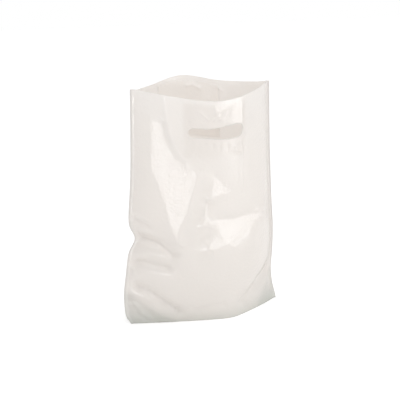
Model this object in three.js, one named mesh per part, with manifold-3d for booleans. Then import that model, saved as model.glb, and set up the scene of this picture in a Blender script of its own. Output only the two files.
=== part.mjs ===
import * as THREE from 'three';
import { mergeVertices } from 'three/addons/utils/BufferGeometryUtils.js';
import Module from 'manifold-3d';

// A white film carrier bag that stands open on its bottom folds.
// Its side seams are welded, its base is a folded-in gusset, and a hand slot is
// cut through both panels and the reinforcing patch inside each of them.
// Frame: +Z up, -Y is the front panel, the origin is under the middle of the bag.
// Lengths are in millimetres.

// Driving dimensions of the bag
const flatWidth = 254;
const seamHeight = 336;
const openDepth = 100;
const filmWall = 1;
const sealWidth = 4;
const frontSag = 17.5;
const rearRise = 11.2;
const rearSettle = 2.5;

// Base gusset, which is folded in between the two bottom folds
const gussetDepth = 50;
const earLength = 60;
const pleatHeight = 17;
const pleatReach = 20;
const pleatLength = 90;
const slitGap = 0.3;

// Hand slot, in both panels
const slotLength = 93;
const slotNarrow = 13.5;
const slotWide = 19.5;
const slotDrop = 49;
const slotShift = 0.5;
const slotTaper = 36;

// Reinforcing patch inside each panel, around its slot
const patchMargin = 6;
const patchWidth = slotLength + 2 * patchMargin;
const patchTopDrop = 6;
const patchBottomDrop = 84;
const patchFilm = 0.8;
const glueGap = 0.3;

// Dent in the left seam
const notchHeight = 126;
const notchDepth = 9.5;
const notchReach = 14;

// Fineness of the surface
const acrossSteps = 30;
const columnJoin = 1.5;
const cutterReach = 12;

const halfWidth = flatWidth / 2;
const halfDepth = openDepth / 2;

// Form of the standing bag from the floor up to the rim.
// height, left and right are where the seams run; front and rear are how far the
// panels stand out; round is how full their curve is; lean moves the fullest
// point to the right. Heights are shares of seamHeight, left, right and lean of
// halfWidth, front and rear of halfDepth.
const stations = [
  { height: 0.000, left: -0.921, right: 1.000, front: 0.90, rear: 0.90, round: 0.11, back: 0.20, lean: 0.13 },
  { height: 0.035, left: -0.978, right: 0.976, front: 0.91, rear: 0.88, round: 0.18, back: 0.30, lean: 0.12 },
  { height: 0.083, left: -0.998, right: 0.941, front: 0.93, rear: 0.86, round: 0.38, back: 0.58, lean: 0.11 },
  { height: 0.147, left: -1.000, right: 0.921, front: 0.95, rear: 0.85, round: 0.70, back: 1.00, lean: 0.08 },
  { height: 0.251, left: -0.965, right: 0.937, front: 0.97, rear: 0.86, round: 1.20, back: 1.60, lean: 0.05 },
  { height: 0.354, left: -0.938, right: 0.937, front: 0.97, rear: 0.88, round: 1.80, back: 2.20, lean: 0.02 },
  { height: 0.472, left: -0.931, right: 0.913, front: 0.95, rear: 0.92, round: 2.50, back: 2.50, lean: 0.01 },
  { height: 0.634, left: -0.901, right: 0.887, front: 0.93, rear: 0.96, round: 3.00, back: 3.00, lean: 0.00 },
  { height: 0.811, left: -0.890, right: 0.866, front: 0.90, rear: 1.00, round: 3.00, back: 2.40, lean: 0.00 },
  { height: 1.000, left: -0.887, right: 0.851, front: 0.88, rear: 1.04, round: 3.00, back: 1.40, lean: 0.00 },
];

// Rows of the surface, as shares of seamHeight
const rowShares = [
  0, 0.025, 0.05, 0.08, 0.11, 0.147, 0.18, 0.215, 0.25, 0.285, 0.32, 0.345, 0.37, 0.395, 0.42, 0.45,
  0.49, 0.53, 0.57, 0.61, 0.65, 0.69, 0.73, 0.77, 0.81, 0.85, 0.89, 0.93, 0.965, 1,
];

// Folds of the soft film: a path over a panel, with how far it stands out (or, below
// nought, in) and how wide it spreads, in mm. A place is a share of halfWidth across
// and a share of seamHeight up.
const frontFolds = [
  { path: [[-1.00, 0.470], [-0.81, 0.443]], out: -2.0, reach: 5 },
  { path: [[-1.00, 0.380], [-0.71, 0.363], [-0.55, 0.321]], out: -4.5, reach: 8 },
  { path: [[-1.00, 0.268], [-0.81, 0.280], [-0.60, 0.265]], out: -4.0, reach: 8 },
  { path: [[-0.88, 0.176], [-0.72, 0.143], [-0.49, 0.060]], out: -4.0, reach: 8 },
  { path: [[-0.98, 0.098], [-0.82, 0.030]], out: -3.0, reach: 7 },
  { path: [[0.90, 0.170], [0.52, 0.104], [0.26, 0.060]], out: -4.0, reach: 9 },
  { path: [[0.36, 0.800], [0.36, 0.580]], out: -1.2, reach: 7 },
  { path: [[0.40, 0.300], [-0.15, 0.250]], out: 4.0, reach: 46 },
];
const rearFolds = [
  { path: [[-1.00, 0.400], [-0.70, 0.375], [-0.45, 0.330]], out: -5.0, reach: 11 },
  { path: [[-1.00, 0.160], [-0.40, 0.040]], out: -3.5, reach: 9 },
  { path: [[1.00, 0.170], [0.42, 0.040]], out: -3.5, reach: 9 },
  { path: [[0.75, 0.520], [0.05, 0.440]], out: -4.5, reach: 15 },
  { path: [[0.30, 0.860], [-0.10, 0.560]], out: -3.0, reach: 24 },
  { path: [[0.10, 0.280], [-0.30, 0.240]], out: 4.0, reach: 46 },
];

// Flat faces that the buckled film takes up: their corners, as shares like those of
// the folds, the place on the panel that the face goes through, how far it is pushed
// out there in mm, and the way it faces, in degrees to the right and upwards
const cheekHinge = [-0.63, 0.687];
const frontFacets = [
  {
    corners: [
      [-0.64, 0.995], [-0.30, 0.995], [-0.28, 0.800], [-0.36, 0.735], [-0.44, 0.745],
      [-0.57, 0.820], [-0.62, 0.890],
    ],
    at: [-0.46, 0.880], push: 0.3, right: -15, up: 3,
  },
  {
    corners: [[-0.78, 0.872], [-0.65, 0.884], [-0.60, 0.798], [-0.49, 0.717], [-0.80, 0.688]],
    at: cheekHinge, push: -1.5, right: -26, up: 2.5,
  },
  {
    corners: [
      [-0.80, 0.686], [-0.69, 0.607], [-0.62, 0.536], [-0.57, 0.420], [-0.55, 0.366], [-0.50, 0.426],
      [-0.40, 0.497], [-0.32, 0.607], [-0.27, 0.670], [-0.33, 0.702], [-0.40, 0.661], [-0.49, 0.715],
    ],
    at: cheekHinge, push: -1.5, right: -26, up: 4.5,
  },
  {
    corners: [[-0.04, 0.667], [0.16, 0.583], [0.03, 0.580], [-0.13, 0.565], [-0.09, 0.604]],
    at: [0.00, 0.615], push: 0, right: 7, up: 8,
  },
  {
    corners: [
      [0.73, 0.432], [0.43, 0.458], [0.26, 0.455], [0.08, 0.464], [-0.01, 0.467], [0.00, 0.437],
      [0.00, 0.380], [0.12, 0.363], [0.23, 0.387], [0.38, 0.408], [0.55, 0.417],
    ],
    at: [0.24, 0.415], push: 0.5, right: 11, up: 9,
  },
  {
    corners: [
      [-0.05, 0.384], [-0.16, 0.369], [-0.24, 0.348], [-0.24, 0.339], [-0.13, 0.333],
      [0.00, 0.348], [0.08, 0.358],
    ],
    at: [-0.08, 0.357], push: 0, right: 11, up: 9,
  },
];
const rearFacets = [
  {
    corners: [[-0.10, 0.700], [0.34, 0.640], [0.22, 0.500], [-0.16, 0.560]],
    at: [0.08, 0.600], push: 0, right: 4, up: 6,
  },
  {
    corners: [[0.46, 0.500], [0.62, 0.330], [0.40, 0.300]],
    at: [0.49, 0.377], push: 0, right: 24, up: -6,
  },
];
const facetReach = 16;
const foldFade = 12;
const facetFade = 24;

// Rim of each panel: how far its middle part moves up, around which place and how
// broadly, and how far all of it moves. Pinch is how much the panel is drawn in
// beside its left and its right seam.
const frontRim = { rise: -frontSag, at: 0.03, spread: 0.7, settle: 0, pinch: [0.3, 0] };
const rearRim = { rise: rearRise, at: -0.05, spread: 0.36, settle: -rearSettle, pinch: [0.75, 0.3] };
const pinchReach = 0.16;

const FRONT = {
  side: -1, depth: 'front', round: 'round', leanShare: 1,
  folds: frontFolds, facets: frontFacets, rim: frontRim,
};
const REAR = {
  side: 1, depth: 'rear', round: 'back', leanShare: -0.33,
  folds: rearFolds, facets: rearFacets, rim: rearRim,
};

// Smooth curve through one property of the stations
function stationValue(key, share) {
  const last = stations.length - 2;
  let i = 0;
  while (i < last && share > stations[i + 1].height) i += 1;
  const a = stations[i];
  const b = stations[i + 1];
  const before = stations[Math.max(i - 1, 0)];
  const after = stations[Math.min(i + 2, last + 1)];
  const span = b.height - a.height;
  const t = (share - a.height) / span;
  const slopeA = ((b[key] - before[key]) / (b.height - before.height)) * span;
  const slopeB = ((after[key] - a[key]) / (after.height - a.height)) * span;
  const t2 = t * t;
  const t3 = t2 * t;
  const stay = (2 * t3 - 3 * t2 + 1) * a[key] + (3 * t2 - 2 * t3) * b[key];
  return stay + (t3 - 2 * t2 + t) * slopeA + (t3 - t2) * slopeB;
}

// Nearest place of a line to a place on the flat film, with the distance
function nearestOnLine([x, z], [x0, z0], [x1, z1]) {
  const dx = x1 - x0;
  const dz = z1 - z0;
  const along = THREE.MathUtils.clamp(((x - x0) * dx + (z - z0) * dz) / (dx * dx + dz * dz), 0, 1);
  const near = [x0 + along * dx, z0 + along * dz];
  return { near, distance: Math.hypot(x - near[0], z - near[1]) };
}

// A list of places given as shares, in mm on the flat film
const inMillimetres = (places) => places.map(([u, share]) => [u * halfWidth, share * seamHeight]);

// How far all folds move the film at one place
function foldOffset(panel, u, z) {
  let out = 0;
  for (const fold of panel.folds) {
    const path = inMillimetres(fold.path);
    const distances = path.slice(1).map((end, i) => nearestOnLine([u * halfWidth, z], path[i], end).distance);
    out += fold.out * Math.exp(-((Math.min(...distances) / fold.reach) ** 2));
  }
  return out;
}

// Nearest place of a facet's area to a place on the flat film, with the distance
function nearestInFacet(place, outline) {
  const [x, z] = place;
  let inside = false;
  let best = { near: place, distance: Infinity };
  outline.forEach((start, i) => {
    const end = outline[(i + 1) % outline.length];
    const slope = (end[0] - start[0]) / (end[1] - start[1]);
    if (start[1] > z !== end[1] > z && x < start[0] + slope * (z - start[1])) inside = !inside;
    const edge = nearestOnLine(place, start, end);
    if (edge.distance < best.distance) best = edge;
  });
  return inside ? { near: place, distance: 0 } : best;
}

// How far the facets move the film at one place: fully inside them, and less and
// less beside them
function facetOffset(panel, u, z) {
  let sum = 0;
  let weights = 1 / facetReach;
  for (const facet of panel.facets) {
    const outline = inMillimetres(facet.corners);
    const { near, distance } = nearestInFacet([u * halfWidth, z], outline);
    const weight = Math.exp(-distance / facetReach) / (distance + 1e-6);
    const base = smoothPoint(panel, near[0] / halfWidth, near[1]);
    const hinge = smoothPoint(panel, facet.at[0], facet.at[1] * seamHeight);
    const right = THREE.MathUtils.degToRad(facet.right);
    const up = THREE.MathUtils.degToRad(facet.up);
    const across = Math.tan(right) * (base.x - hinge.x);
    const tilt = (Math.tan(up) / Math.cos(right)) * (base.z - hinge.z);
    sum += weight * (Math.abs(hinge.y) + facet.push - across - tilt - Math.abs(base.y));
    weights += weight;
  }
  return sum / weights;
}

// How much a panel is drawn in beside its seams, which fades out below the rim
function rimPinch(panel, u, share) {
  const most = panel.rim.pinch[u < 0 ? 0 : 1];
  return most * Math.exp(-(((1 - Math.abs(u)) / pinchReach) ** 2)) * share ** 4;
}

// How far the film moves up with the curve of its rim, which fades out downwards
function rimLift(panel, u, share) {
  const { rise, at, spread, settle } = panel.rim;
  const crown = rise * Math.exp(-(((u - at) / spread) ** 2)) + settle;
  return crown * (1 - u ** 8) * share ** 1.5;
}

// Place on a panel without facets: u runs from -1 at the left seam line to 1 at the right
function smoothPoint(panel, u, z) {
  const share = z / seamHeight;
  const dent = notchDepth * Math.exp(-(((z - notchHeight) / notchReach) ** 2));
  const left = stationValue('left', share) * halfWidth + sealWidth;
  const right = stationValue('right', share) * halfWidth - sealWidth;
  const half = (right - left) / 2;
  const middle = (right + left) / 2;
  const depth = stationValue(panel.depth, share) * halfDepth - filmWall;
  const round = stationValue(panel.round, share);
  const lean = stationValue('lean', share) * halfWidth * panel.leanShare;
  const angle = 2 * Math.atan(depth / half);
  const fall = (Math.sqrt(u * u + round * round) - round) / (Math.sqrt(1 + round * round) - round);
  const full = depth * (1 - fall) * (1 - rimPinch(panel, u, share));
  const arc = (half * Math.sin(angle * u)) / Math.sin(angle);
  const x = middle + arc + lean * (1 - fall) + dent * ((1 - u) / 2) ** 3;
  return new THREE.Vector3(x, panel.side * (filmWall + full), z + rimLift(panel, u, share));
}

// Grows smoothly from 0 at the seams to 1 at a distance from them
function seamFade(u, reach) {
  const t = Math.min(1, ((1 - Math.abs(u)) * halfWidth) / reach);
  return t * t * (3 - 2 * t);
}

// Outer face of a panel with its folds and facets, which fade out at the seams
function panelPoint(panel, u, z) {
  const point = smoothPoint(panel, u, z);
  const folded = foldOffset(panel, u, z) * seamFade(u, foldFade);
  const flattened = facetOffset(panel, u, z) * seamFade(u, facetFade);
  point.y = panel.side * Math.max(filmWall, Math.abs(point.y) + folded + flattened);
  return point;
}

// Weld band beside the seam line, flat and two films thick
function weldPoint(panel, end, z) {
  const point = panelPoint(panel, end, z);
  point.x += end * sealWidth;
  return point;
}

// Evenly spread lines, with further lines put exactly at the given places
function linesWith(places, lines, join) {
  const kept = lines.filter((line, i) => {
    const border = i === 0 || i === lines.length - 1;
    return border || places.every((place) => Math.abs(place - line) > join);
  });
  return [...kept, ...places].sort((a, b) => a - b);
}

const patchLeft = (slotShift - patchWidth / 2) / halfWidth;
const patchRight = (slotShift + patchWidth / 2) / halfWidth;
const patchBottom = seamHeight - patchBottomDrop;
const patchTop = seamHeight - patchTopDrop;
const evenColumns = Array.from({ length: acrossSteps + 1 }, (_, i) => -1 + (2 * i) / acrossSteps);
const columns = linesWith([patchLeft, patchRight], evenColumns, columnJoin / halfWidth);
const evenRows = rowShares.map((share) => share * seamHeight);
const rows = linesWith([gussetDepth, patchBottom, patchTop], evenRows, columnJoin);
const earRows = rows.filter((z) => z <= gussetDepth);

// Height at which a gusset layer leaves the panel: the diagonal fold of each ear
function eaveHeight(u) {
  const earStart = 1 - earLength / halfWidth;
  return (gussetDepth * Math.max(0, Math.abs(u) - earStart)) / (1 - earStart);
}

// Height of the gusset's centre fold above the floor
function ridgeHeight(u) {
  const pleatEnd = pleatLength / flatWidth;
  const climb = Math.max(0, Math.abs(u) - pleatEnd) / (1 - pleatEnd);
  return pleatHeight + (gussetDepth - pleatHeight) * climb;
}

// How far from the middle the film leaves the flat band and climbs to the ridge
function pleatEdge(u, widest) {
  return eaveHeight(u) > 0 ? widest : Math.min(pleatReach, widest);
}

// Closed surface made of strips between rows of points
class Skin {
  constructor() {
    this.positions = [];
  }

  triangle(a, b, c) {
    this.positions.push(...a.toArray(), ...b.toArray(), ...c.toArray());
  }

  // Strip between two rows with the same number of points
  strip(lower, upper) {
    for (let i = 0; i + 1 < lower.length; i += 1) {
      this.triangle(lower[i], lower[i + 1], upper[i + 1]);
      this.triangle(lower[i], upper[i + 1], upper[i]);
    }
  }

  // Surface through a list of rows
  sheet(lines) {
    for (let j = 0; j + 1 < lines.length; j += 1) this.strip(lines[j], lines[j + 1]);
  }

  // Geometry with shared vertices and without triangles that have no area
  geometry() {
    const raw = new THREE.BufferGeometry();
    raw.setAttribute('position', new THREE.Float32BufferAttribute(this.positions, 3));
    const merged = mergeVertices(raw, 1e-4);
    const index = merged.getIndex().array;
    const kept = [];
    for (let i = 0; i < index.length; i += 3) {
      const [a, b, c] = [index[i], index[i + 1], index[i + 2]];
      if (a !== b && b !== c && c !== a) kept.push(a, b, c);
    }
    merged.setIndex(kept);
    return merged;
  }
}

const moved = (point, dy, z) => new THREE.Vector3(point.x, point.y + dy, z ?? point.z);
const middleOf = (a, b, share) => new THREE.Vector3().lerpVectors(a, b, share);

// Outer ring at one height: front from left to right, then rear from right to left
function outerRing(z) {
  const front = columns.map((u) => panelPoint(FRONT, u, z));
  const rear = columns.map((u) => panelPoint(REAR, u, z)).reverse();
  const ring = [
    weldPoint(FRONT, -1, z), ...front, weldPoint(FRONT, 1, z),
    weldPoint(REAR, 1, z), ...rear, weldPoint(REAR, -1, z),
  ];
  return [...ring, ring[0]];
}

// Inner face of a panel: one film further in, and never below the gusset
function innerPoint(panel, u, z) {
  const lifted = Math.max(z, eaveHeight(u) + filmWall);
  return moved(panelPoint(panel, u, lifted), -panel.side * filmWall);
}

// Inner ring with the same count, so that the rim joins the two rings point by point
function innerRing(z) {
  const front = columns.map((u) => innerPoint(FRONT, u, z));
  const rear = columns.map((u) => innerPoint(REAR, u, z)).reverse();
  const ring = [front[0], ...front, front.at(-1), rear[0], ...rear, rear.at(-1)];
  return [...ring, ring[0]];
}

// One side of the gusset's slit: the inner face of the two films of an ear
function slitPoint(panel, u, z) {
  const point = panelPoint(panel, u, z);
  const slit = Math.max(Math.abs(point.y) - 2 * filmWall, slitGap);
  return new THREE.Vector3(point.x, panel.side * slit, z);
}

// Half of the underside at one column, from the bottom fold to the centre fold
function underHalf(panel, u, centre) {
  const fold = panelPoint(panel, u, 0);
  if (Math.abs(u) === 1) {
    const closed = new THREE.Vector3(fold.x, 0, 0);
    return [fold, ...Array(earRows.length + 1).fill(closed)];
  }
  const eave = eaveHeight(u);
  const ear = earRows.map((z) => slitPoint(panel, u, Math.min(z, eave)));
  const top = ear.at(-1);
  const flatEnd = middleOf(top, centre, 1 - pleatEdge(u, Math.abs(top.y)) / Math.abs(top.y));
  return [fold, ...ear, moved(flatEnd, 0, top.z)];
}

// Point of the centre fold at one column
function centreFold(u, lift) {
  if (Math.abs(u) === 1 && lift === 0) return new THREE.Vector3(panelPoint(FRONT, u, 0).x, 0, 0);
  const height = ridgeHeight(u) + lift;
  const front = panelPoint(FRONT, u, height);
  const rear = panelPoint(REAR, u, height);
  return new THREE.Vector3((front.x + rear.x) / 2, 0, height);
}

// Whole underside at one column, from front to rear
function underLine(u) {
  const centre = centreFold(u, 0);
  return [...underHalf(FRONT, u, centre), centre, ...underHalf(REAR, u, centre).reverse()];
}

// Half of the gusset's upper face at one column
function floorHalf(panel, u, centre) {
  const start = innerPoint(panel, u, 0);
  const out = Math.abs(start.y);
  if (out <= filmWall) return [start, start];
  const flatEnd = middleOf(start, centre, 1 - pleatEdge(u, out - filmWall) / out);
  return [start, moved(flatEnd, 0, start.z)];
}

// Whole floor inside the bag at one column, from front to rear
function floorLine(u) {
  const seam = Math.abs(u) === 1;
  const centre = seam ? innerPoint(FRONT, u, 0) : centreFold(u, filmWall);
  return [...floorHalf(FRONT, u, centre), centre, ...floorHalf(REAR, u, centre).reverse()];
}

// Lower end of a weld band, as two lines that close the underside
function weldFoot(end) {
  const front = weldPoint(FRONT, end, 0);
  const rear = weldPoint(REAR, end, 0);
  const closed = new THREE.Vector3(panelPoint(FRONT, end, 0).x, 0, 0);
  const between = underLine(0).length - 2;
  return [[front, ...Array(between + 1).fill(rear)], [front, ...Array(between).fill(closed), rear]];
}

// The bag's film as one closed shell: outside, rim, inside, gusset from above and below
function bagShell() {
  const skin = new Skin();
  const outer = rows.map(outerRing);
  const inner = rows.map(innerRing);
  skin.sheet(outer);
  skin.strip(outer.at(-1), inner.at(-1));
  skin.sheet([...inner].reverse());
  skin.sheet(columns.map(floorLine).reverse());
  skin.sheet([...weldFoot(-1), ...columns.map(underLine), ...weldFoot(1).reverse()]);
  return skin.geometry();
}

// A reinforcing patch: a sheet that follows the inside of its panel
function patchSheet(panel) {
  const across = columns.filter((u) => u >= patchLeft && u <= patchRight);
  if (panel.side > 0) across.reverse();
  const up = rows.filter((z) => z >= patchBottom && z <= patchTop);
  const inside = (inwards, u, z) => moved(panelPoint(panel, u, z), -panel.side * inwards);
  const face = (inwards) => up.map((z) => across.map((u) => inside(inwards, u, z)));
  const glued = face(filmWall + glueGap);
  const free = face(filmWall + glueGap + patchFilm);
  const rim = (lines) => [
    ...lines[0].slice(0, -1),
    ...lines.map((line) => line.at(-1)).slice(0, -1),
    ...[...lines.at(-1)].reverse().slice(0, -1),
    ...lines.map((line) => line[0]).reverse(),
  ];
  const skin = new Skin();
  skin.sheet(glued);
  skin.sheet(free.map((line) => [...line].reverse()));
  skin.strip(rim(free), rim(glued));
  return skin.geometry();
}

// Half the height of the slot at a place along it: narrow at the left, wide at the right
function slotHalf(x) {
  const share = THREE.MathUtils.smoothstep(x, -slotTaper / 2, slotTaper / 2);
  return THREE.MathUtils.lerp(slotNarrow, slotWide, share) / 2;
}

// Outline of the hand slot: two round ends, joined by an upper and a lower edge
function slotOutline() {
  const endSteps = 6;
  const edgeSteps = 6;
  const left = (slotNarrow - slotLength) / 2;
  const right = (slotLength - slotWide) / 2;
  const points = [];
  for (let i = 0; i <= endSteps; i += 1) {
    const angle = -Math.PI / 2 + (Math.PI * i) / endSteps;
    points.push([right + (slotWide / 2) * Math.cos(angle), (slotWide / 2) * Math.sin(angle)]);
  }
  for (let i = 1; i < edgeSteps; i += 1) {
    const x = THREE.MathUtils.lerp(right, left, i / edgeSteps);
    points.push([x, slotHalf(x)]);
  }
  for (let i = 0; i <= endSteps; i += 1) {
    const angle = Math.PI / 2 + (Math.PI * i) / endSteps;
    points.push([left + (slotNarrow / 2) * Math.cos(angle), (slotNarrow / 2) * Math.sin(angle)]);
  }
  for (let i = 1; i < edgeSteps; i += 1) {
    const x = THREE.MathUtils.lerp(left, right, i / edgeSteps);
    points.push([x, -slotHalf(x)]);
  }
  return points;
}

// Solid that cuts the slot straight through one panel and its patch
function slotCutter(panel) {
  const outline = slotOutline();
  const loop = outline.map(([x, z]) => {
    return panelPoint(panel, (slotShift + x) / halfWidth, seamHeight - slotDrop + z);
  });
  const front = loop.map((point) => moved(point, -cutterReach));
  const rear = loop.map((point) => moved(point, cutterReach));
  const flat = outline.map(([x, z]) => new THREE.Vector2(x, z));
  const skin = new Skin();
  for (const [a, b, c] of THREE.ShapeUtils.triangulateShape(flat, [])) {
    skin.triangle(front[a], front[b], front[c]);
    skin.triangle(rear[c], rear[b], rear[a]);
  }
  skin.strip([...rear, rear[0]], [...front, front[0]]);
  return skin.geometry();
}

const wasm = await Module();
wasm.setup();

function toSolid(geometry) {
  const vertProperties = new Float32Array(geometry.getAttribute('position').array);
  const triVerts = new Uint32Array(geometry.getIndex().array);
  return new wasm.Manifold(new wasm.Mesh({ numProp: 3, vertProperties, triVerts }));
}

function toGeometry(solid) {
  const { vertProperties, triVerts } = solid.getMesh();
  const geometry = new THREE.BufferGeometry();
  geometry.setAttribute('position', new THREE.Float32BufferAttribute(vertProperties, 3));
  geometry.setIndex(Array.from(triVerts));
  geometry.computeVertexNormals();
  return geometry;
}

function namedMesh(name, solid, material) {
  const mesh = new THREE.Mesh(toGeometry(solid), material);
  mesh.name = name;
  return mesh;
}

const bagFilm = new THREE.MeshStandardMaterial({ color: 0xf1ece8, roughness: 0.25, metalness: 0 });
const patchSheetFilm = new THREE.MeshStandardMaterial({ color: 0xf6f1ed, roughness: 0.22, metalness: 0 });

const frontCutter = toSolid(slotCutter(FRONT));
const rearCutter = toSolid(slotCutter(REAR));
const bag = toSolid(bagShell()).subtract(frontCutter).subtract(rearCutter);
const frontPatch = toSolid(patchSheet(FRONT)).subtract(frontCutter);
const rearPatch = toSolid(patchSheet(REAR)).subtract(rearCutter);

const carrierBag = new THREE.Group();
carrierBag.add(namedMesh('bag_body', bag, bagFilm));
carrierBag.add(namedMesh('front_handle_patch', frontPatch, patchSheetFilm));
carrierBag.add(namedMesh('rear_handle_patch', rearPatch, patchSheetFilm));

export default carrierBag;
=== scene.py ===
import math

import bmesh
import bpy
import numpy as np
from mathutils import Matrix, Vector


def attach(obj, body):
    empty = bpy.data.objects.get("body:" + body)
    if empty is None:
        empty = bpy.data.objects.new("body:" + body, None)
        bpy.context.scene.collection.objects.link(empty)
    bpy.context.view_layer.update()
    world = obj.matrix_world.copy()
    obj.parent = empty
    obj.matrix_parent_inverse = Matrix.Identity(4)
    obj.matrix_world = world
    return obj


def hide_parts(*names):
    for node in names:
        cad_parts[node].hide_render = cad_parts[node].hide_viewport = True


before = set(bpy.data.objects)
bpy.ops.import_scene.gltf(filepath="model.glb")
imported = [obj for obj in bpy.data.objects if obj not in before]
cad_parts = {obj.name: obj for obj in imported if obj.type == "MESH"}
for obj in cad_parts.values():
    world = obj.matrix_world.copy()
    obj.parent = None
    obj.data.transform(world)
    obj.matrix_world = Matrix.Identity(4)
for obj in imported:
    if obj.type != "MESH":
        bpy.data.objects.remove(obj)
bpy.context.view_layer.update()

# A white film carrier bag standing open on its bottom folds, in metres.
# +Z is up, -Y is the front panel, and the origin is under the middle of the bag.

# Sizes of the bag, which repeat those of the CAD model
FLAT_WIDTH = 0.254
SEAM_HEIGHT = 0.336
OPEN_DEPTH = 0.100
SEAL_WIDTH = 0.004
FRONT_SAG = 0.0175
REAR_RISE = 0.0112
REAR_SETTLE = 0.0025
GUSSET_DEPTH = 0.050
EAR_LENGTH = 0.060
PLEAT_HEIGHT = 0.017
PLEAT_REACH = 0.020
PLEAT_LENGTH = 0.090
SLOT_LENGTH = 0.093
SLOT_NARROW = 0.0135
SLOT_WIDE = 0.0195
SLOT_DROP = 0.049
SLOT_SHIFT = 0.0005
SLOT_TAPER = 0.036
PATCH_MARGIN = 0.006
PATCH_WIDTH = SLOT_LENGTH + 2 * PATCH_MARGIN
PATCH_TOP_DROP = 0.006
PATCH_BOTTOM_DROP = 0.084
NOTCH_HEIGHT = 0.126
NOTCH_DEPTH = 0.0095
NOTCH_REACH = 0.014

# The film is drawn thinner here than the CAD wall, which stands in for it
FILM = 0.0005
SHELL = 0.0004
GLUE_GAP = 0.0003
SLIT_GAP = 0.00015

HALF_WIDTH = FLAT_WIDTH / 2
HALF_DEPTH = OPEN_DEPTH / 2
SLOT_MIDDLE = SEAM_HEIGHT - SLOT_DROP

# Form of the standing bag from the floor up to the rim, as in the CAD model:
# height, left seam, right seam, front and rear depth, front and rear fullness,
# and lean of the fullest point to the right
STATIONS = (
    (0.000, -0.921, 1.000, 0.90, 0.90, 0.11, 0.20, 0.13),
    (0.035, -0.978, 0.976, 0.91, 0.88, 0.18, 0.30, 0.12),
    (0.083, -0.998, 0.941, 0.93, 0.86, 0.38, 0.58, 0.11),
    (0.147, -1.000, 0.921, 0.95, 0.85, 0.70, 1.00, 0.08),
    (0.251, -0.965, 0.937, 0.97, 0.86, 1.20, 1.60, 0.05),
    (0.354, -0.938, 0.937, 0.97, 0.88, 1.80, 2.20, 0.02),
    (0.472, -0.931, 0.913, 0.95, 0.92, 2.50, 2.50, 0.01),
    (0.634, -0.901, 0.887, 0.93, 0.96, 3.00, 3.00, 0.00),
    (0.811, -0.890, 0.866, 0.90, 1.00, 3.00, 2.40, 0.00),
    (1.000, -0.887, 0.851, 0.88, 1.04, 3.00, 1.40, 0.00),
)
LEFT, RIGHT, DEPTH_FRONT, DEPTH_REAR, FULL_FRONT, FULL_REAR, LEAN = range(1, 8)
REAR_LEAN = -0.33

FRONT, REAR = -1, 1

# Soft folds: path, how far the film stands out (in metres) and how wide it spreads.
# Places are shares of HALF_WIDTH across and of SEAM_HEIGHT up.
FRONT_FOLDS = (
    (((-1.00, 0.470), (-0.81, 0.443)), -0.0020, 0.005),
    (((-1.00, 0.380), (-0.71, 0.363), (-0.55, 0.321)), -0.0045, 0.008),
    (((-1.00, 0.268), (-0.81, 0.280), (-0.60, 0.265)), -0.0040, 0.008),
    (((-0.88, 0.176), (-0.72, 0.143), (-0.49, 0.060)), -0.0040, 0.008),
    (((-0.98, 0.098), (-0.82, 0.030)), -0.0030, 0.007),
    (((0.90, 0.170), (0.52, 0.104), (0.26, 0.060)), -0.0040, 0.009),
    (((0.36, 0.800), (0.36, 0.580)), -0.0012, 0.007),
    (((0.40, 0.300), (-0.15, 0.250)), 0.0040, 0.046),
)
REAR_FOLDS = (
    (((-1.00, 0.400), (-0.70, 0.375), (-0.45, 0.330)), -0.0050, 0.011),
    (((-1.00, 0.160), (-0.40, 0.040)), -0.0035, 0.009),
    (((1.00, 0.170), (0.42, 0.040)), -0.0035, 0.009),
    (((0.75, 0.520), (0.05, 0.440)), -0.0045, 0.015),
    (((0.30, 0.860), (-0.10, 0.560)), -0.0030, 0.024),
    (((0.10, 0.280), (-0.30, 0.240)), 0.0040, 0.046),
)

# Flat faces of the buckled film: their corners, as shares like those of the folds,
# the place on the panel that the face goes through, how far it is pushed out there,
# and the way it faces, in degrees to the right and upwards
CHEEK_HINGE = (-0.63, 0.687)
BROW_HINGE = (0.35, 0.408)
TAIL_HINGE = (0.05, 0.366)
FRONT_FACETS = (
    (((-0.64, 0.995), (-0.30, 0.995), (-0.28, 0.800), (-0.36, 0.735), (-0.44, 0.745), (-0.57, 0.820),
      (-0.62, 0.890)),
     (-0.46, 0.880), 0.0003, -15, 3),
    (((-0.78, 0.872), (-0.65, 0.884), (-0.60, 0.798), (-0.49, 0.717), (-0.80, 0.688)),
     CHEEK_HINGE, -0.0015, -26, 2.5),
    (((-0.80, 0.686), (-0.69, 0.607), (-0.62, 0.536), (-0.57, 0.420), (-0.55, 0.366), (-0.50, 0.426),
      (-0.40, 0.497), (-0.32, 0.607), (-0.27, 0.670), (-0.33, 0.702), (-0.40, 0.661), (-0.49, 0.715)),
     CHEEK_HINGE, -0.0015, -26, 4.5),
    (((-0.04, 0.667), (0.16, 0.583), (0.03, 0.580), (-0.13, 0.565), (-0.09, 0.604)),
     (0.00, 0.615), 0.0, 7, 8),
    (((0.73, 0.436), (0.43, 0.458), (0.26, 0.455), (0.08, 0.464), (-0.01, 0.467), (0.00, 0.437),
      (0.00, 0.380), (0.12, 0.354), (0.23, 0.375), (0.38, 0.402), (0.55, 0.424)),
     BROW_HINGE, -0.0035, 11, 9),
    (((-0.05, 0.384), (-0.15, 0.371), (-0.20, 0.356), (-0.20, 0.342), (-0.13, 0.333),
      (0.00, 0.342), (0.10, 0.350), (0.05, 0.366), (0.00, 0.380)),
     TAIL_HINGE, -0.0006, 8, 9),
    (((-0.17, 0.548), (-0.14, 0.546), (-0.15, 0.520), (-0.17, 0.470), (-0.18, 0.445), (-0.23, 0.445),
      (-0.20, 0.482), (-0.18, 0.521)),
     (-0.17, 0.510), 0.0004, 7, 8.5),
    (((-0.05, 0.980), (0.36, 0.985), (0.36, 0.885), (0.27, 0.893), (0.10, 0.905), (-0.02, 0.935)),
     (0.18, 0.940), 0.0, 8.5, 2.6),
)
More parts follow.
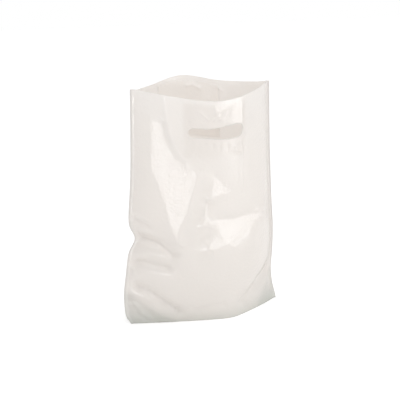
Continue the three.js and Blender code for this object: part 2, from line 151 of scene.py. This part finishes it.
REAR_FACETS = (
    (((-0.10, 0.700), (0.34, 0.640), (0.22, 0.500), (-0.16, 0.560)), (0.08, 0.600), 0.0, 4, 6),
    (((0.46, 0.500), (0.62, 0.330), (0.40, 0.300)), (0.49, 0.377), 0.0, 24, -6),
)
FACET_REACH = 0.016

# Sharp creases, as the folds, but with a crest that comes to an edge
FRONT_CREASES = (
    (((-1.00, 0.470), (-0.92, 0.461), (-0.81, 0.443)), -0.0026, 0.0030),
    (((-0.98, 0.392), (-0.85, 0.378), (-0.71, 0.363), (-0.55, 0.321)), -0.0044, 0.0036),
    (((-1.00, 0.268), (-0.90, 0.280), (-0.81, 0.280), (-0.69, 0.265), (-0.60, 0.265)), -0.0044, 0.0036),
    (((-0.99, 0.259), (-0.94, 0.235)), 0.0017, 0.0026),
    (((-0.88, 0.176), (-0.79, 0.164), (-0.72, 0.143), (-0.62, 0.113), (-0.49, 0.060)), -0.0042, 0.0036),
    (((-0.98, 0.098), (-0.91, 0.086), (-0.86, 0.048), (-0.82, 0.030)), -0.0022, 0.0032),
    (((0.90, 0.160), (0.77, 0.149), (0.60, 0.143), (0.52, 0.104), (0.40, 0.080)), -0.0015, 0.0060),
    (((-0.49, 0.054), (-0.36, 0.068), (-0.02, 0.071)), -0.0024, 0.0045),
    (((-0.14, 0.560), (-0.17, 0.521), (-0.19, 0.482), (-0.22, 0.455), (-0.15, 0.449)), 0.0017, 0.0026),
    (((-0.55, 0.372), (-0.48, 0.354)), 0.0017, 0.0024),
    (((-0.14, 0.437), (-0.05, 0.428)), 0.0014, 0.0022),
    (((0.81, 0.473), (0.69, 0.467), (0.61, 0.467)), 0.0014, 0.0024),
    (((0.35, 0.803), (0.37, 0.714), (0.35, 0.577)), 0.0014, 0.0024),
    (((-0.50, 0.732), (-0.42, 0.717), (-0.35, 0.726)), -0.0014, 0.0024),
    (((-0.21, 0.941), (-0.14, 0.918)), 0.0016, 0.0024),
    (((-0.09, 0.912), (-0.01, 0.943)), 0.0014, 0.0024),
    (((0.02, 0.915), (0.10, 0.946)), 0.0011, 0.0024),
    (((0.13, 0.910), (0.20, 0.952)), 0.0009, 0.0024),
    (((-0.16, 0.808), (-0.16, 0.794)), -0.0010, 0.0022),
    (((-0.06, 0.808), (-0.06, 0.794)), -0.0010, 0.0022),
    (((0.03, 0.802), (0.03, 0.788)), -0.0010, 0.0022),
    (((0.14, 0.796), (0.14, 0.782)), -0.0010, 0.0022),
    (((0.24, 0.768), (0.32, 0.753)), 0.0014, 0.0020),
    (((-0.68, 0.905), (-0.65, 0.887)), 0.0014, 0.0020),
)
REAR_CREASES = (
    (((-1.00, 0.400), (-0.70, 0.375), (-0.45, 0.330)), -0.0031, 0.0040),
    (((-1.00, 0.160), (-0.70, 0.105), (-0.40, 0.040)), -0.0026, 0.0040),
    (((1.00, 0.170), (0.70, 0.110), (0.42, 0.040)), -0.0026, 0.0040),
    (((0.01, 0.955), (0.08, 0.962), (0.17, 0.952)), -0.0014, 0.0024),
    (((0.41, 0.965), (0.46, 0.950), (0.46, 0.925)), -0.0017, 0.0024),
)

# Distances from the seams within which folds, facets and creases fade out
FOLD_FADE = 0.012
FACET_FADE = 0.024
CREASE_FADE = 0.004

# Rim: how far it moves up, where, how broadly, how far the rest of it moves, and
# how much the panel is drawn in beside its left and right seam
RIMS = {
    FRONT: (-FRONT_SAG, 0.03, 0.70, 0.0, 0.30, 0.0),
    REAR: (REAR_RISE, -0.05, 0.36, -REAR_SETTLE, 0.75, 0.30),
}
PINCH_REACH = 0.16

# Cells of the grids: fine around the slot, coarser elsewhere
FINE_CELL = 0.0016
LEFT_CELL = 0.0020
RIGHT_CELL = 0.0030
LOW_CELL = 0.0021
MIDDLE_CELL = 0.0029
SLOT_MARGIN = 0.004
UNDER_LINES = 8
WELD_START = 0.999

# Grid places within this share of a cell from the slot's outline are moved onto it
SNAP_SHARE = 0.55
TINY = 1e-5

# Painted shade: how strongly the film's colour is darkened over the ears, where the gusset's layers lie
# behind it, and towards the floor
EAR_SHADE = 0.35
EAR_SHADE_EDGE = 0.012
FOOT_SHADE = 0.75
FOOT_SHADE_REACH = 0.014

# Looks: colours, share of light that passes through, gloss and grain
FILM_COLOUR = (0.95, 0.922, 0.895)
FILM_WARM = (0.94, 0.908, 0.876)
PATCH_COLOUR = (0.985, 0.97, 0.953)
# Painted shade colour for the film over the ears and near the floor
GUSSET_SHADE_COLOUR = (0.81, 0.81, 0.768)
# Painted shade: the film's inner side is drawn darker and warmer than its outer side
INSIDE_SHADE_TINT = (0.975, 0.957, 0.940)
FILM_THROUGH = 0.45
WELD_THROUGH = 0.40
PATCH_THROUGH = 0.32
FILM_ROUGHNESS = 0.22
COAT_ROUGHNESS = 0.12
CLOUD_SCALE = 28
CRINKLE_SCALE = 210
CRINKLE_DEPTH = 0.0006

# Camera at the photograph's viewing angle
AIM = Vector((-0.0055, 0.0, 0.1698))
VIEW_AZIMUTH = -28.0
VIEW_ELEVATION = 13.8
VIEW_DISTANCE = 1.4
SENSOR = 36.0
# One millimetre at the aim takes this many pixels of a picture 400 pixels wide
PICTURE_SCALE = 0.6933
PICTURE_WIDTH = 400

# Lights, floor and surroundings
TOP_LEVEL = 0.8
FRONT_LEVEL = 0.85
LEFT_LEVEL = 7.6
RIGHT_LEVEL = 6.4
WORLD_LEFT = 0.67
WORLD_RIGHT = 0.98
FLOOR_SIZE = 12
FLOOR_GREY = 0.9
FLOOR_GLOW = 0.3


def station_value(column, share):
    """Smooth curve through one column of the stations."""
    table = np.array(STATIONS)
    heights = table[:, 0]
    values = table[:, column]
    slopes = np.empty_like(values)
    slopes[1:-1] = (values[2:] - values[:-2]) / (heights[2:] - heights[:-2])
    slopes[0] = (values[1] - values[0]) / (heights[1] - heights[0])
    slopes[-1] = (values[-1] - values[-2]) / (heights[-1] - heights[-2])
    i = np.clip(np.searchsorted(heights, share, side="right") - 1, 0, len(heights) - 2)
    span = heights[i + 1] - heights[i]
    t = (share - heights[i]) / span
    stay = (2 * t**3 - 3 * t**2 + 1) * values[i] + (3 * t**2 - 2 * t**3) * values[i + 1]
    return stay + span * ((t**3 - 2 * t**2 + t) * slopes[i] + (t**3 - t**2) * slopes[i + 1])


def nearest_on_line(x, z, start, end):
    """Nearest places of a line to places on the flat film, with their distances."""
    dx, dz = end[0] - start[0], end[1] - start[1]
    along = np.clip(((x - start[0]) * dx + (z - start[1]) * dz) / (dx * dx + dz * dz), 0, 1)
    near_x, near_z = start[0] + along * dx, start[1] + along * dz
    return near_x, near_z, np.hypot(x - near_x, z - near_z)


def seam_fade(u, reach):
    """Grows smoothly from 0 at the seams to 1 at a distance from them."""
    t = np.clip((1 - np.abs(u)) * HALF_WIDTH / reach, 0, 1)
    return t * t * (3 - 2 * t)


def in_metres(places):
    """Places given as shares, in metres on the flat film."""
    return [(u * HALF_WIDTH, share * SEAM_HEIGHT) for u, share in places]


def path_distance(path, u, z):
    """Distance on the flat film from each place to the nearest part of a path."""
    line = in_metres(path)
    distances = [nearest_on_line(u * HALF_WIDTH, z, *ends)[2] for ends in zip(line, line[1:])]
    return np.minimum.reduce(distances)


def fold_offset(side, u, z):
    """How far the soft folds move the film at each place."""
    out = np.zeros_like(u)
    for path, height, reach in FRONT_FOLDS if side == FRONT else REAR_FOLDS:
        out += height * np.exp(-((path_distance(path, u, z) / reach) ** 2))
    return out


def crease_offset(side, u, z):
    """How far the sharp creases move the film at each place."""
    out = np.zeros_like(u)
    for path, height, reach in FRONT_CREASES if side == FRONT else REAR_CREASES:
        out += height * np.exp(-path_distance(path, u, z) / reach)
    return out


def nearest_in_outline(x, z, outline):
    """Nearest places of a closed outline's area, with their distances."""
    inside = np.zeros(x.shape, bool)
    best = np.full(x.shape, np.inf)
    near_x, near_z = x, z
    for start, end in zip(outline, outline[1:] + outline[:1]):
        crosses = (start[1] > z) != (end[1] > z)
        slope = (end[0] - start[0]) / (end[1] - start[1]) if end[1] != start[1] else 0
        inside ^= crosses & (x < start[0] + slope * (z - start[1]))
        line_x, line_z, distance = nearest_on_line(x, z, start, end)
        closer = distance < best
        best = np.where(closer, distance, best)
        near_x = np.where(closer, line_x, near_x)
        near_z = np.where(closer, line_z, near_z)
    return np.where(inside, x, near_x), np.where(inside, z, near_z), np.where(inside, 0, best)


def facet_offset(side, u, z):
    """How far the facets move the film: fully inside them, and less and less beside them."""
    total = np.zeros_like(u)
    weights = np.full_like(u, 1 / FACET_REACH)
    for corners, hinge, push, right, up in FRONT_FACETS if side == FRONT else REAR_FACETS:
        outline = in_metres(corners)
        near_x, near_z, distance = nearest_in_outline(u * HALF_WIDTH, z, outline)
        weight = np.exp(-distance / FACET_REACH) / (distance + 1e-9)
        base = smooth_point(side, near_x / HALF_WIDTH, near_z)
        centre = smooth_point(side, np.array(hinge[0]), np.array(hinge[1] * SEAM_HEIGHT))
        across = math.tan(math.radians(right)) * (base[..., 0] - centre[0])
        tilt = math.tan(math.radians(up)) / math.cos(math.radians(right)) * (base[..., 2] - centre[2])
        total += weight * (abs(centre[1]) + push - across - tilt - np.abs(base[..., 1]))
        weights += weight
    return total / weights


def smooth_point(side, u, z):
    """Outer face of a panel without facets, at places u from seam to seam and heights z."""
    share = z / SEAM_HEIGHT
    dent = NOTCH_DEPTH * np.exp(-(((z - NOTCH_HEIGHT) / NOTCH_REACH) ** 2))
    left = station_value(LEFT, share) * HALF_WIDTH + SEAL_WIDTH
    right = station_value(RIGHT, share) * HALF_WIDTH - SEAL_WIDTH
    half = (right - left) / 2
    middle = (right + left) / 2
    depth = station_value(DEPTH_FRONT if side == FRONT else DEPTH_REAR, share) * HALF_DEPTH - FILM
    full = station_value(FULL_FRONT if side == FRONT else FULL_REAR, share)
    lean = station_value(LEAN, share) * HALF_WIDTH * (1 if side == FRONT else REAR_LEAN)
    angle = 2 * np.arctan(depth / half)
    fall = (np.sqrt(u * u + full * full) - full) / (np.sqrt(1 + full * full) - full)
    rise, peak, spread, settle, pinch_left, pinch_right = RIMS[side]
    pinch = np.where(u < 0, pinch_left, pinch_right) * share**4
    pinch *= np.exp(-(((1 - np.abs(u)) / PINCH_REACH) ** 2))
    x = middle + half * np.sin(angle * u) / np.sin(angle) + lean * (1 - fall) + dent * ((1 - u) / 2) ** 3
    crown = rise * np.exp(-(((u - peak) / spread) ** 2)) + settle
    up = z + crown * (1 - u**8) * share**1.5
    return np.stack([x, side * (FILM + depth * (1 - fall) * (1 - pinch)), up], -1)


def film_point(side, u, z):
    """Outer face of a panel with its folds, facets and creases, which fade out at the seams."""
    point = smooth_point(side, u, z)
    out = np.abs(point[..., 1])
    out += fold_offset(side, u, z) * seam_fade(u, FOLD_FADE)
    out += facet_offset(side, u, z) * seam_fade(u, FACET_FADE)
    out += crease_offset(side, u, z) * seam_fade(u, CREASE_FADE)
    point[..., 1] = side * np.maximum(FILM, out)
    return point


def slot_distance(s, z):
    """Signed distance to the hand slot's outline, negative inside it."""
    x = s - SLOT_SHIFT
    y = z - SLOT_MIDDLE
    left = (SLOT_NARROW - SLOT_LENGTH) / 2
    right = (SLOT_LENGTH - SLOT_WIDE) / 2
    t = np.clip(x / SLOT_TAPER + 0.5, 0, 1)
    half = (SLOT_NARROW + (SLOT_WIDE - SLOT_NARROW) * t * t * (3 - 2 * t)) / 2
    beyond = np.maximum(np.maximum(left - x, x - right), 0)
    return np.hypot(beyond, y) - half


def snapped_to_slot(s, z, cell):
    """Moves the grid's places that lie close to the slot's outline onto it."""
    close = np.abs(slot_distance(s, z)) < SNAP_SHARE * cell
    for _ in range(3):
        distance = slot_distance(s, z)
        ds = (slot_distance(s + TINY, z) - slot_distance(s - TINY, z)) / (2 * TINY)
        dz = (slot_distance(s, z + TINY) - slot_distance(s, z - TINY)) / (2 * TINY)
        size = np.maximum(ds * ds + dz * dz, 1e-9)
        s = np.where(close, s - distance * ds / size, s)
        z = np.where(close, z - distance * dz / size, z)
    return s, z


def spread_lines(limits, cells):
    """Grid lines between limits, with a cell size for each span between two of them."""
    parts = []
    for start, end, cell in zip(limits, limits[1:], cells):
        parts.append(np.linspace(start, end, max(1, round((end - start) / cell)), endpoint=False))
    return np.append(np.concatenate(parts), limits[-1])


COLUMN_LIMITS = (
    -HALF_WIDTH,
    SLOT_SHIFT - SLOT_LENGTH / 2 - SLOT_MARGIN,
    SLOT_SHIFT + SLOT_LENGTH / 2 + SLOT_MARGIN,
    HALF_WIDTH,
)
ROW_LIMITS = (0, SEAM_HEIGHT / 2, SLOT_MIDDLE - SLOT_WIDE / 2 - SLOT_MARGIN, SEAM_HEIGHT)
COLUMNS = spread_lines(COLUMN_LIMITS, (LEFT_CELL, FINE_CELL, RIGHT_CELL)) / HALF_WIDTH
ROWS = spread_lines(ROW_LIMITS, (LOW_CELL, MIDDLE_CELL, FINE_CELL))
EAR_ROWS = np.append(ROWS[ROWS < GUSSET_DEPTH], GUSSET_DEPTH)


def eave_height(u):
    """Height up to which the films of an ear lie on each other."""
    start = 1 - EAR_LENGTH / HALF_WIDTH
    return GUSSET_DEPTH * np.maximum(0, np.abs(u) - start) / (1 - start)


def ridge_height(u):
    """Height of the gusset's middle fold over the floor."""
    end = PLEAT_LENGTH / FLAT_WIDTH
    climb = np.maximum(0, np.abs(u) - end) / (1 - end)
    return PLEAT_HEIGHT + (GUSSET_DEPTH - PLEAT_HEIGHT) * climb


def painted_gusset_shade(u, z):
    """How much painted shade darkens the film at a place, from 0 to 1: over the ears and towards the
    floor.
    """
    ear = np.clip((eave_height(u) - z) / EAR_SHADE_EDGE + 0.5, 0, 1)
    return np.clip(EAR_SHADE * ear + FOOT_SHADE * np.exp(-((z / FOOT_SHADE_REACH) ** 2)), 0, 1)


class Sheet:
    """Collects grids of points and turns them into one mesh with shared vertices."""

    def __init__(self):
        self.points = []
        self.film = []
        self.faces = []

    def grid(self, points, film, keep=None):
        """Adds a grid; where keep is given, only its cells with a corner of positive keep stay."""
        rows, cols = points.shape[:2]
        start = sum(len(p) for p in self.points)
        self.points.append(points.reshape(-1, 3))
        self.film.append(film.reshape(-1, 3))
        index = start + np.arange(rows * cols).reshape(rows, cols)
        quads = np.stack([index[:-1, :-1], index[:-1, 1:], index[1:, 1:], index[1:, :-1]], -1)
        quads = quads.reshape(-1, 4)
        if keep is None:
            self.faces.extend(map(list, quads))
            return
        flat_keep = keep.reshape(-1)
        for quad in quads:
            corners = flat_keep[quad - start]
            if (corners < 0).any() and (corners > 0).any():
                first = int(np.argmin(corners))
                rest = [quad[(first + k) % 4] for k in (1, 2, 3)]
                if all(corners[(first + k) % 4] >= 0 for k in (1, 2, 3)):
                    self.faces.append(rest)
            elif (corners > 0).any():
                self.faces.append(list(quad))

    def build(self, name):
        """Joins the grids' points where they meet, and makes one object of them."""
        points = np.concatenate(self.points)
        film = np.concatenate(self.film)
        _, first, inverse = np.unique(
            np.round(points, 6), axis=0, return_index=True, return_inverse=True)
        inverse = inverse.reshape(-1)
        faces = []
        for face in self.faces:
            ring = []
            for corner in face:
                vertex = int(inverse[corner])
                if vertex not in ring:
                    ring.append(vertex)
            if len(ring) > 2:
                faces.append(ring)
        mesh = bpy.data.meshes.new(name)
        mesh.from_pydata(points[first].tolist(), [], faces)
        places = film[first]
        attribute = mesh.attributes.new("film", "FLOAT_VECTOR", "POINT")
        attribute.data.foreach_set("vector", places.astype(np.float32).reshape(-1))
        u = places[:, 0] / HALF_WIDTH
        weld = np.abs(u) > WELD_START
        for key, values in (("gusset_shade", painted_gusset_shade(u, places[:, 1])), ("weld", weld)):
            attribute = mesh.attributes.new(key, "FLOAT", "POINT")
            attribute.data.foreach_set("value", values.astype(np.float32))
        obj = bpy.data.objects.new(name, mesh)
        bpy.context.scene.collection.objects.link(obj)
        return obj


def panel_grid(side, columns, rows):
    """Places, points and slot distances of one panel's grid."""
    s, z = np.meshgrid(columns * HALF_WIDTH, rows)
    s, z = snapped_to_slot(s, z, FINE_CELL)
    keep = slot_distance(s, z)
    keep = np.where(np.abs(keep) < TINY, 0, keep)
    points = film_point(side, s / HALF_WIDTH, z)
    film = np.stack([s, z, np.full_like(s, side)], -1)
    return points, film, keep


def slit_point(side, u, z):
    """Inner face of the two films of an ear, beside the gusset's slit."""
    point = film_point(side, u, z)
    slit = np.maximum(np.abs(point[..., 1]) - 2 * FILM, SLIT_GAP)
    return np.stack([point[..., 0], side * slit, z], -1)


def under_lines(columns):
    """The gusset seen from below: one line of points from front to rear for each column."""
    eave = eave_height(columns)
    ridge = ridge_height(columns)
    centre = (film_point(FRONT, columns, ridge) + film_point(REAR, columns, ridge)) / 2
    centre[:, 1] = 0
    centre[:, 2] = ridge
    halves = []
    for side in (FRONT, REAR):
        line = [film_point(side, columns, np.zeros_like(columns))]
        line += [slit_point(side, columns, np.minimum(eave, z)) for z in EAR_ROWS]
        top = line[-1]
        out = np.abs(top[:, 1])
        edge = np.where(eave > 0, out, np.minimum(PLEAT_REACH, out))
        flat = top + (centre - top) * (1 - edge / out)[:, None]
        flat[:, 2] = eave
        line += [top + (flat - top) * t for t in np.linspace(0, 1, UNDER_LINES)[1:]]
        line += [flat + (centre - flat) * t for t in np.linspace(0, 1, UNDER_LINES + 1)[1:-1]]
        halves.append(line)
    grid = np.stack(halves[0] + [centre] + halves[1][::-1], 1)
    for end in (0, -1):
        grid[end, 1:-1] = (grid[end, 0, 0], 0, 0)
    return grid


def build_bag():
    """The bag's film: both panels, both weld bands and the folded-in gusset."""
    sheet = Sheet()
    front, front_film, front_keep = panel_grid(FRONT, COLUMNS, ROWS)
    rear, rear_film, rear_keep = panel_grid(REAR, COLUMNS, ROWS)
    sheet.grid(front, front_film, front_keep)
    sheet.grid(rear[:, ::-1], rear_film[:, ::-1], rear_keep[:, ::-1])
    for end, column in ((-1, 0), (1, -1)):
        welds = []
        for panel in (front, rear):
            edge = panel[:, column].copy()
            edge[:, 0] += end * SEAL_WIDTH
            welds.append(edge)
        strip = np.stack([front[:, column], welds[0], welds[1], rear[:, column]], 1)
        film = np.stack([front_film[:, column]] * 2 + [rear_film[:, column]] * 2, 1)
        if end < 0:
            strip = strip[:, ::-1]
            film = film[:, ::-1]
        sheet.grid(strip, film)
    under = under_lines(COLUMNS)
    feet = []
    for column, edge in ((0, -1), (-1, 1)):
        foot = under[column].copy()
        foot[[0, -1], 0] += edge * SEAL_WIDTH
        tip = np.repeat(foot[-1:], len(foot), 0)
        tip[0] = foot[0]
        feet.append(np.stack([tip, foot]))
    lines = np.concatenate([feet[0], under, feet[1][::-1]])
    unfolded = lines[..., 2] - np.abs(lines[..., 1])
    sheet.grid(lines, np.stack([lines[..., 0], unfolded, np.zeros_like(unfolded)], -1))
    return sheet.build("bag_film")


def build_patch(side, name):
    """A reinforcing patch: a sheet glued to the inside of its panel, with the same slot."""
    left = (SLOT_SHIFT - PATCH_WIDTH / 2) / HALF_WIDTH
    right = (SLOT_SHIFT + PATCH_WIDTH / 2) / HALF_WIDTH
    low = SEAM_HEIGHT - PATCH_BOTTOM_DROP
    high = SEAM_HEIGHT - PATCH_TOP_DROP
    columns = COLUMNS[(COLUMNS > left) & (COLUMNS < right)]
    rows = ROWS[(ROWS > low) & (ROWS < high)]
    columns = np.concatenate([[left], columns, [right]])
    rows = np.concatenate([[low], rows, [high]])
    points, film, keep = panel_grid(side, columns, rows)
    points[..., 1] -= side * (SHELL + GLUE_GAP)
    sheet = Sheet()
    if side == REAR:
        points, film, keep = points[:, ::-1], film[:, ::-1], keep[:, ::-1]
    sheet.grid(points, film, keep)
    return sheet.build(name)


def give_thickness(obj, thickness):
    """Turns the sheet into a thin closed shell, inwards from its outer face, and marks its inner side."""
    mesh = obj.data
    bm = bmesh.new()
    bm.from_mesh(mesh)
    bmesh.ops.recalc_face_normals(bm, faces=bm.faces[:])
    bm.to_mesh(mesh)
    bm.free()
    solidify = obj.modifiers.new("thickness", "SOLIDIFY")
    solidify.thickness = thickness
    solidify.offset = -1
    solidify.use_even_offset = False
    for polygon in mesh.polygons:
        polygon.use_smooth = True
    count = len(mesh.vertices)
    bpy.context.view_layer.objects.active = obj
    obj.select_set(True)
    bpy.ops.object.modifier_apply(modifier="thickness")
    obj.select_set(False)
    places = np.empty(len(mesh.vertices) * 3, np.float32)
    mesh.vertices.foreach_get("co", places)
    depth = np.abs(places[1::3])
    inner = np.arange(len(depth)) >= count
    if depth[inner].mean() > depth[~inner].mean():
        inner = ~inner
    attribute = mesh.attributes.new("inner", "FLOAT", "POINT")
    attribute.data.foreach_set("value", inner.astype(np.float32))


def film_material(name, colour, warm, through_share, welded):
    """Glossy white polyethylene film with a part of the light passing through it.

    The welded film also has its weld bands, and painted shade over the ears, where the gusset lies behind
    it, and towards the floor.
    Faces seen from within the shell are clear, so that the light scatters only once in the film.
    """
    material = bpy.data.materials.new(name)
    material.use_nodes = True
    nodes = material.node_tree.nodes
    links = material.node_tree.links
    nodes.clear()

    def attribute(key):
        node = nodes.new("ShaderNodeAttribute")
        node.attribute_name = key
        return node

    def blend(factor, first, second):
        node = nodes.new("ShaderNodeMix")
        node.data_type = "RGBA"
        node.inputs["B"].default_value = (*second, 1)
        links.new(factor, node.inputs["Factor"])
        if isinstance(first, tuple):
            node.inputs["A"].default_value = (*first, 1)
        else:
            links.new(first, node.inputs["A"])
        return node.outputs["Result"]

    output = nodes.new("ShaderNodeOutputMaterial")
    gloss = nodes.new("ShaderNodeBsdfPrincipled")
    gloss.inputs["Roughness"].default_value = FILM_ROUGHNESS
    gloss.inputs["Specular IOR Level"].default_value = 1.0
    gloss.inputs["Coat Weight"].default_value = 1.0
    gloss.inputs["Coat Roughness"].default_value = COAT_ROUGHNESS
    through = nodes.new("ShaderNodeBsdfTranslucent")
    mix = nodes.new("ShaderNodeMixShader")
    mix.inputs["Fac"].default_value = through_share
    links.new(gloss.outputs["BSDF"], mix.inputs[1])
    links.new(through.outputs["BSDF"], mix.inputs[2])
    within = nodes.new("ShaderNodeNewGeometry")
    clear = nodes.new("ShaderNodeBsdfTransparent")
    skin = nodes.new("ShaderNodeMixShader")
    links.new(within.outputs["Backfacing"], skin.inputs["Fac"])
    links.new(mix.outputs["Shader"], skin.inputs[1])
    links.new(clear.outputs["BSDF"], skin.inputs[2])
    links.new(skin.outputs["Shader"], output.inputs["Surface"])

    place = attribute("film").outputs["Vector"]
    cloud = nodes.new("ShaderNodeTexNoise")
    cloud.inputs["Scale"].default_value = CLOUD_SCALE
    cloud.inputs["Detail"].default_value = 3
    links.new(place, cloud.inputs["Vector"])
    tone = blend(cloud.outputs["Fac"], colour, warm)
    # Painted shade: the shell's inner side is darker and warmer than its outer side
    painted_inside_shade = tuple(part * tint for part, tint in zip(colour, INSIDE_SHADE_TINT))
    tone = blend(attribute("inner").outputs["Fac"], tone, painted_inside_shade)
    if welded:
        # Painted shade over the ears and towards the floor
        tone = blend(attribute("gusset_shade").outputs["Fac"], tone, GUSSET_SHADE_COLOUR)
        share = nodes.new("ShaderNodeMapRange")
        share.inputs["To Min"].default_value = through_share
        share.inputs["To Max"].default_value = WELD_THROUGH
        links.new(attribute("weld").outputs["Fac"], share.inputs["Value"])
        links.new(share.outputs["Result"], mix.inputs["Fac"])
    links.new(tone, gloss.inputs["Base Color"])
    links.new(tone, through.inputs["Color"])

    crinkle = nodes.new("ShaderNodeTexNoise")
    crinkle.inputs["Scale"].default_value = CRINKLE_SCALE
    crinkle.inputs["Detail"].default_value = 3
    crinkle.inputs["Roughness"].default_value = 0.5
    links.new(place, crinkle.inputs["Vector"])
    bump = nodes.new("ShaderNodeBump")
    bump.inputs["Strength"].default_value = 1.0
    bump.inputs["Distance"].default_value = CRINKLE_DEPTH
    links.new(crinkle.outputs["Fac"], bump.inputs["Height"])
    links.new(bump.outputs["Normal"], gloss.inputs["Normal"])
    links.new(bump.outputs["Normal"], gloss.inputs["Coat Normal"])
    return material


def direction(azimuth, elevation):
    """Unit vector away from the bag, with azimuth 0 towards -Y and positive to +X."""
    a, e = math.radians(azimuth), math.radians(elevation)
    return Vector((math.sin(a) * math.cos(e), -math.cos(a) * math.cos(e), math.sin(e)))


def look_at(obj, target):
    """Turns a camera or light so that it faces the target."""
    obj.rotation_euler = (target - obj.location).to_track_quat("-Z", "Y").to_euler()


def add_camera():
    """The camera, with its focal length from the picture's scale at the aim."""
    data = bpy.data.cameras.new("camera")
    data.sensor_width = SENSOR
    data.lens = SENSOR * PICTURE_SCALE * VIEW_DISTANCE * 1000 / PICTURE_WIDTH
    camera = bpy.data.objects.new("camera", data)
    bpy.context.scene.collection.objects.link(camera)
    camera.location = AIM + direction(VIEW_AZIMUTH, VIEW_ELEVATION) * VIEW_DISTANCE
    look_at(camera, AIM)
    bpy.context.scene.camera = camera


def add_softbox(name, azimuth, height, distance, width, tall, radiance):
    """Rectangular studio light at a height above the floor, facing the bag."""
    data = bpy.data.lights.new(name, "AREA")
    data.shape = "RECTANGLE"
    data.size = width
    data.size_y = tall
    data.energy = radiance * math.pi * width * tall
    light = bpy.data.objects.new(name, data)
    bpy.context.scene.collection.objects.link(light)
    light.location = direction(azimuth, 0) * distance + Vector((AIM.x, AIM.y, height))
    look_at(light, AIM)


def add_floor():
    """A pale seamless floor that shows white to the camera and keeps the bag's shadow."""
    bpy.ops.mesh.primitive_plane_add(size=FLOOR_SIZE)
    floor = bpy.context.active_object
    floor.name = "floor"
    material = bpy.data.materials.new("floor_paper")
    material.use_nodes = True
    nodes = material.node_tree.nodes
    links = material.node_tree.links
    shader = nodes["Principled BSDF"]
    shader.inputs["Roughness"].default_value = 0.9
    shader.inputs["Base Color"].default_value = (FLOOR_GREY, FLOOR_GREY, FLOOR_GREY, 1)
    path = nodes.new("ShaderNodeLightPath")
    seen = nodes.new("ShaderNodeMath")
    seen.operation = "MAXIMUM"
    lift = nodes.new("ShaderNodeMath")
    lift.operation = "MULTIPLY"
    lift.inputs[1].default_value = FLOOR_GLOW
    links.new(path.outputs["Is Camera Ray"], seen.inputs[0])
    links.new(path.outputs["Is Glossy Ray"], seen.inputs[1])
    links.new(seen.outputs["Value"], lift.inputs[0])
    shader.inputs["Emission Color"].default_value = (1, 1, 1, 1)
    links.new(lift.outputs["Value"], shader.inputs["Emission Strength"])
    floor.data.materials.append(material)


def set_world():
    """White to the camera, and a soft light that is weaker from the left than from the right."""
    world = bpy.data.worlds.new("studio")
    bpy.context.scene.world = world
    world.use_nodes = True
    nodes = world.node_tree.nodes
    links = world.node_tree.links
    background = nodes["Background"]
    background.inputs["Color"].default_value = (1, 1, 1, 1)
    place = nodes.new("ShaderNodeTexCoord")
    split = nodes.new("ShaderNodeSeparateXYZ")
    side = nodes.new("ShaderNodeMapRange")
    side.inputs["From Min"].default_value = -1
    side.inputs["To Min"].default_value = WORLD_LEFT
    side.inputs["To Max"].default_value = WORLD_RIGHT
    path = nodes.new("ShaderNodeLightPath")
    blend = nodes.new("ShaderNodeMapRange")
    blend.inputs["To Max"].default_value = 1.0
    links.new(place.outputs["Generated"], split.inputs["Vector"])
    links.new(split.outputs["X"], side.inputs["Value"])
    links.new(side.outputs["Result"], blend.inputs["To Min"])
    links.new(path.outputs["Is Camera Ray"], blend.inputs["Value"])
    links.new(blend.outputs["Result"], background.inputs["Strength"])


add_camera()
set_world()
add_floor()
add_softbox("top_light", -20, 1.35, 0.45, 1.2, 1.2, TOP_LEVEL)
add_softbox("front_light", 12, 0.65, 1.4, 1.5, 0.34, FRONT_LEVEL)
add_softbox("left_light", -28, 0.13, 1.2, 0.14, 0.24, LEFT_LEVEL)
add_softbox("right_light", 46.5, 0.205, 1.2, 0.40, 0.11, RIGHT_LEVEL)

bag = build_bag()
give_thickness(bag, SHELL)
bag_look = film_material("bag_film_look", FILM_COLOUR, FILM_WARM, FILM_THROUGH, welded=True)
bag.data.materials.append(bag_look)
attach(bag, "root")
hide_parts("bag_body")

patch_look = film_material("patch_film_look", PATCH_COLOUR, FILM_COLOUR, PATCH_THROUGH, welded=False)
PATCHES = (
    (FRONT, "front_patch", "front_handle_patch"),
    (REAR, "rear_patch", "rear_handle_patch"),
)
for side, name, node in PATCHES:
    patch = build_patch(side, name)
    give_thickness(patch, SHELL / 2)
    patch.data.materials.append(patch_look)
    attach(patch, "root")
    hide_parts(node)

bpy.context.scene.view_settings.view_transform = "Standard"
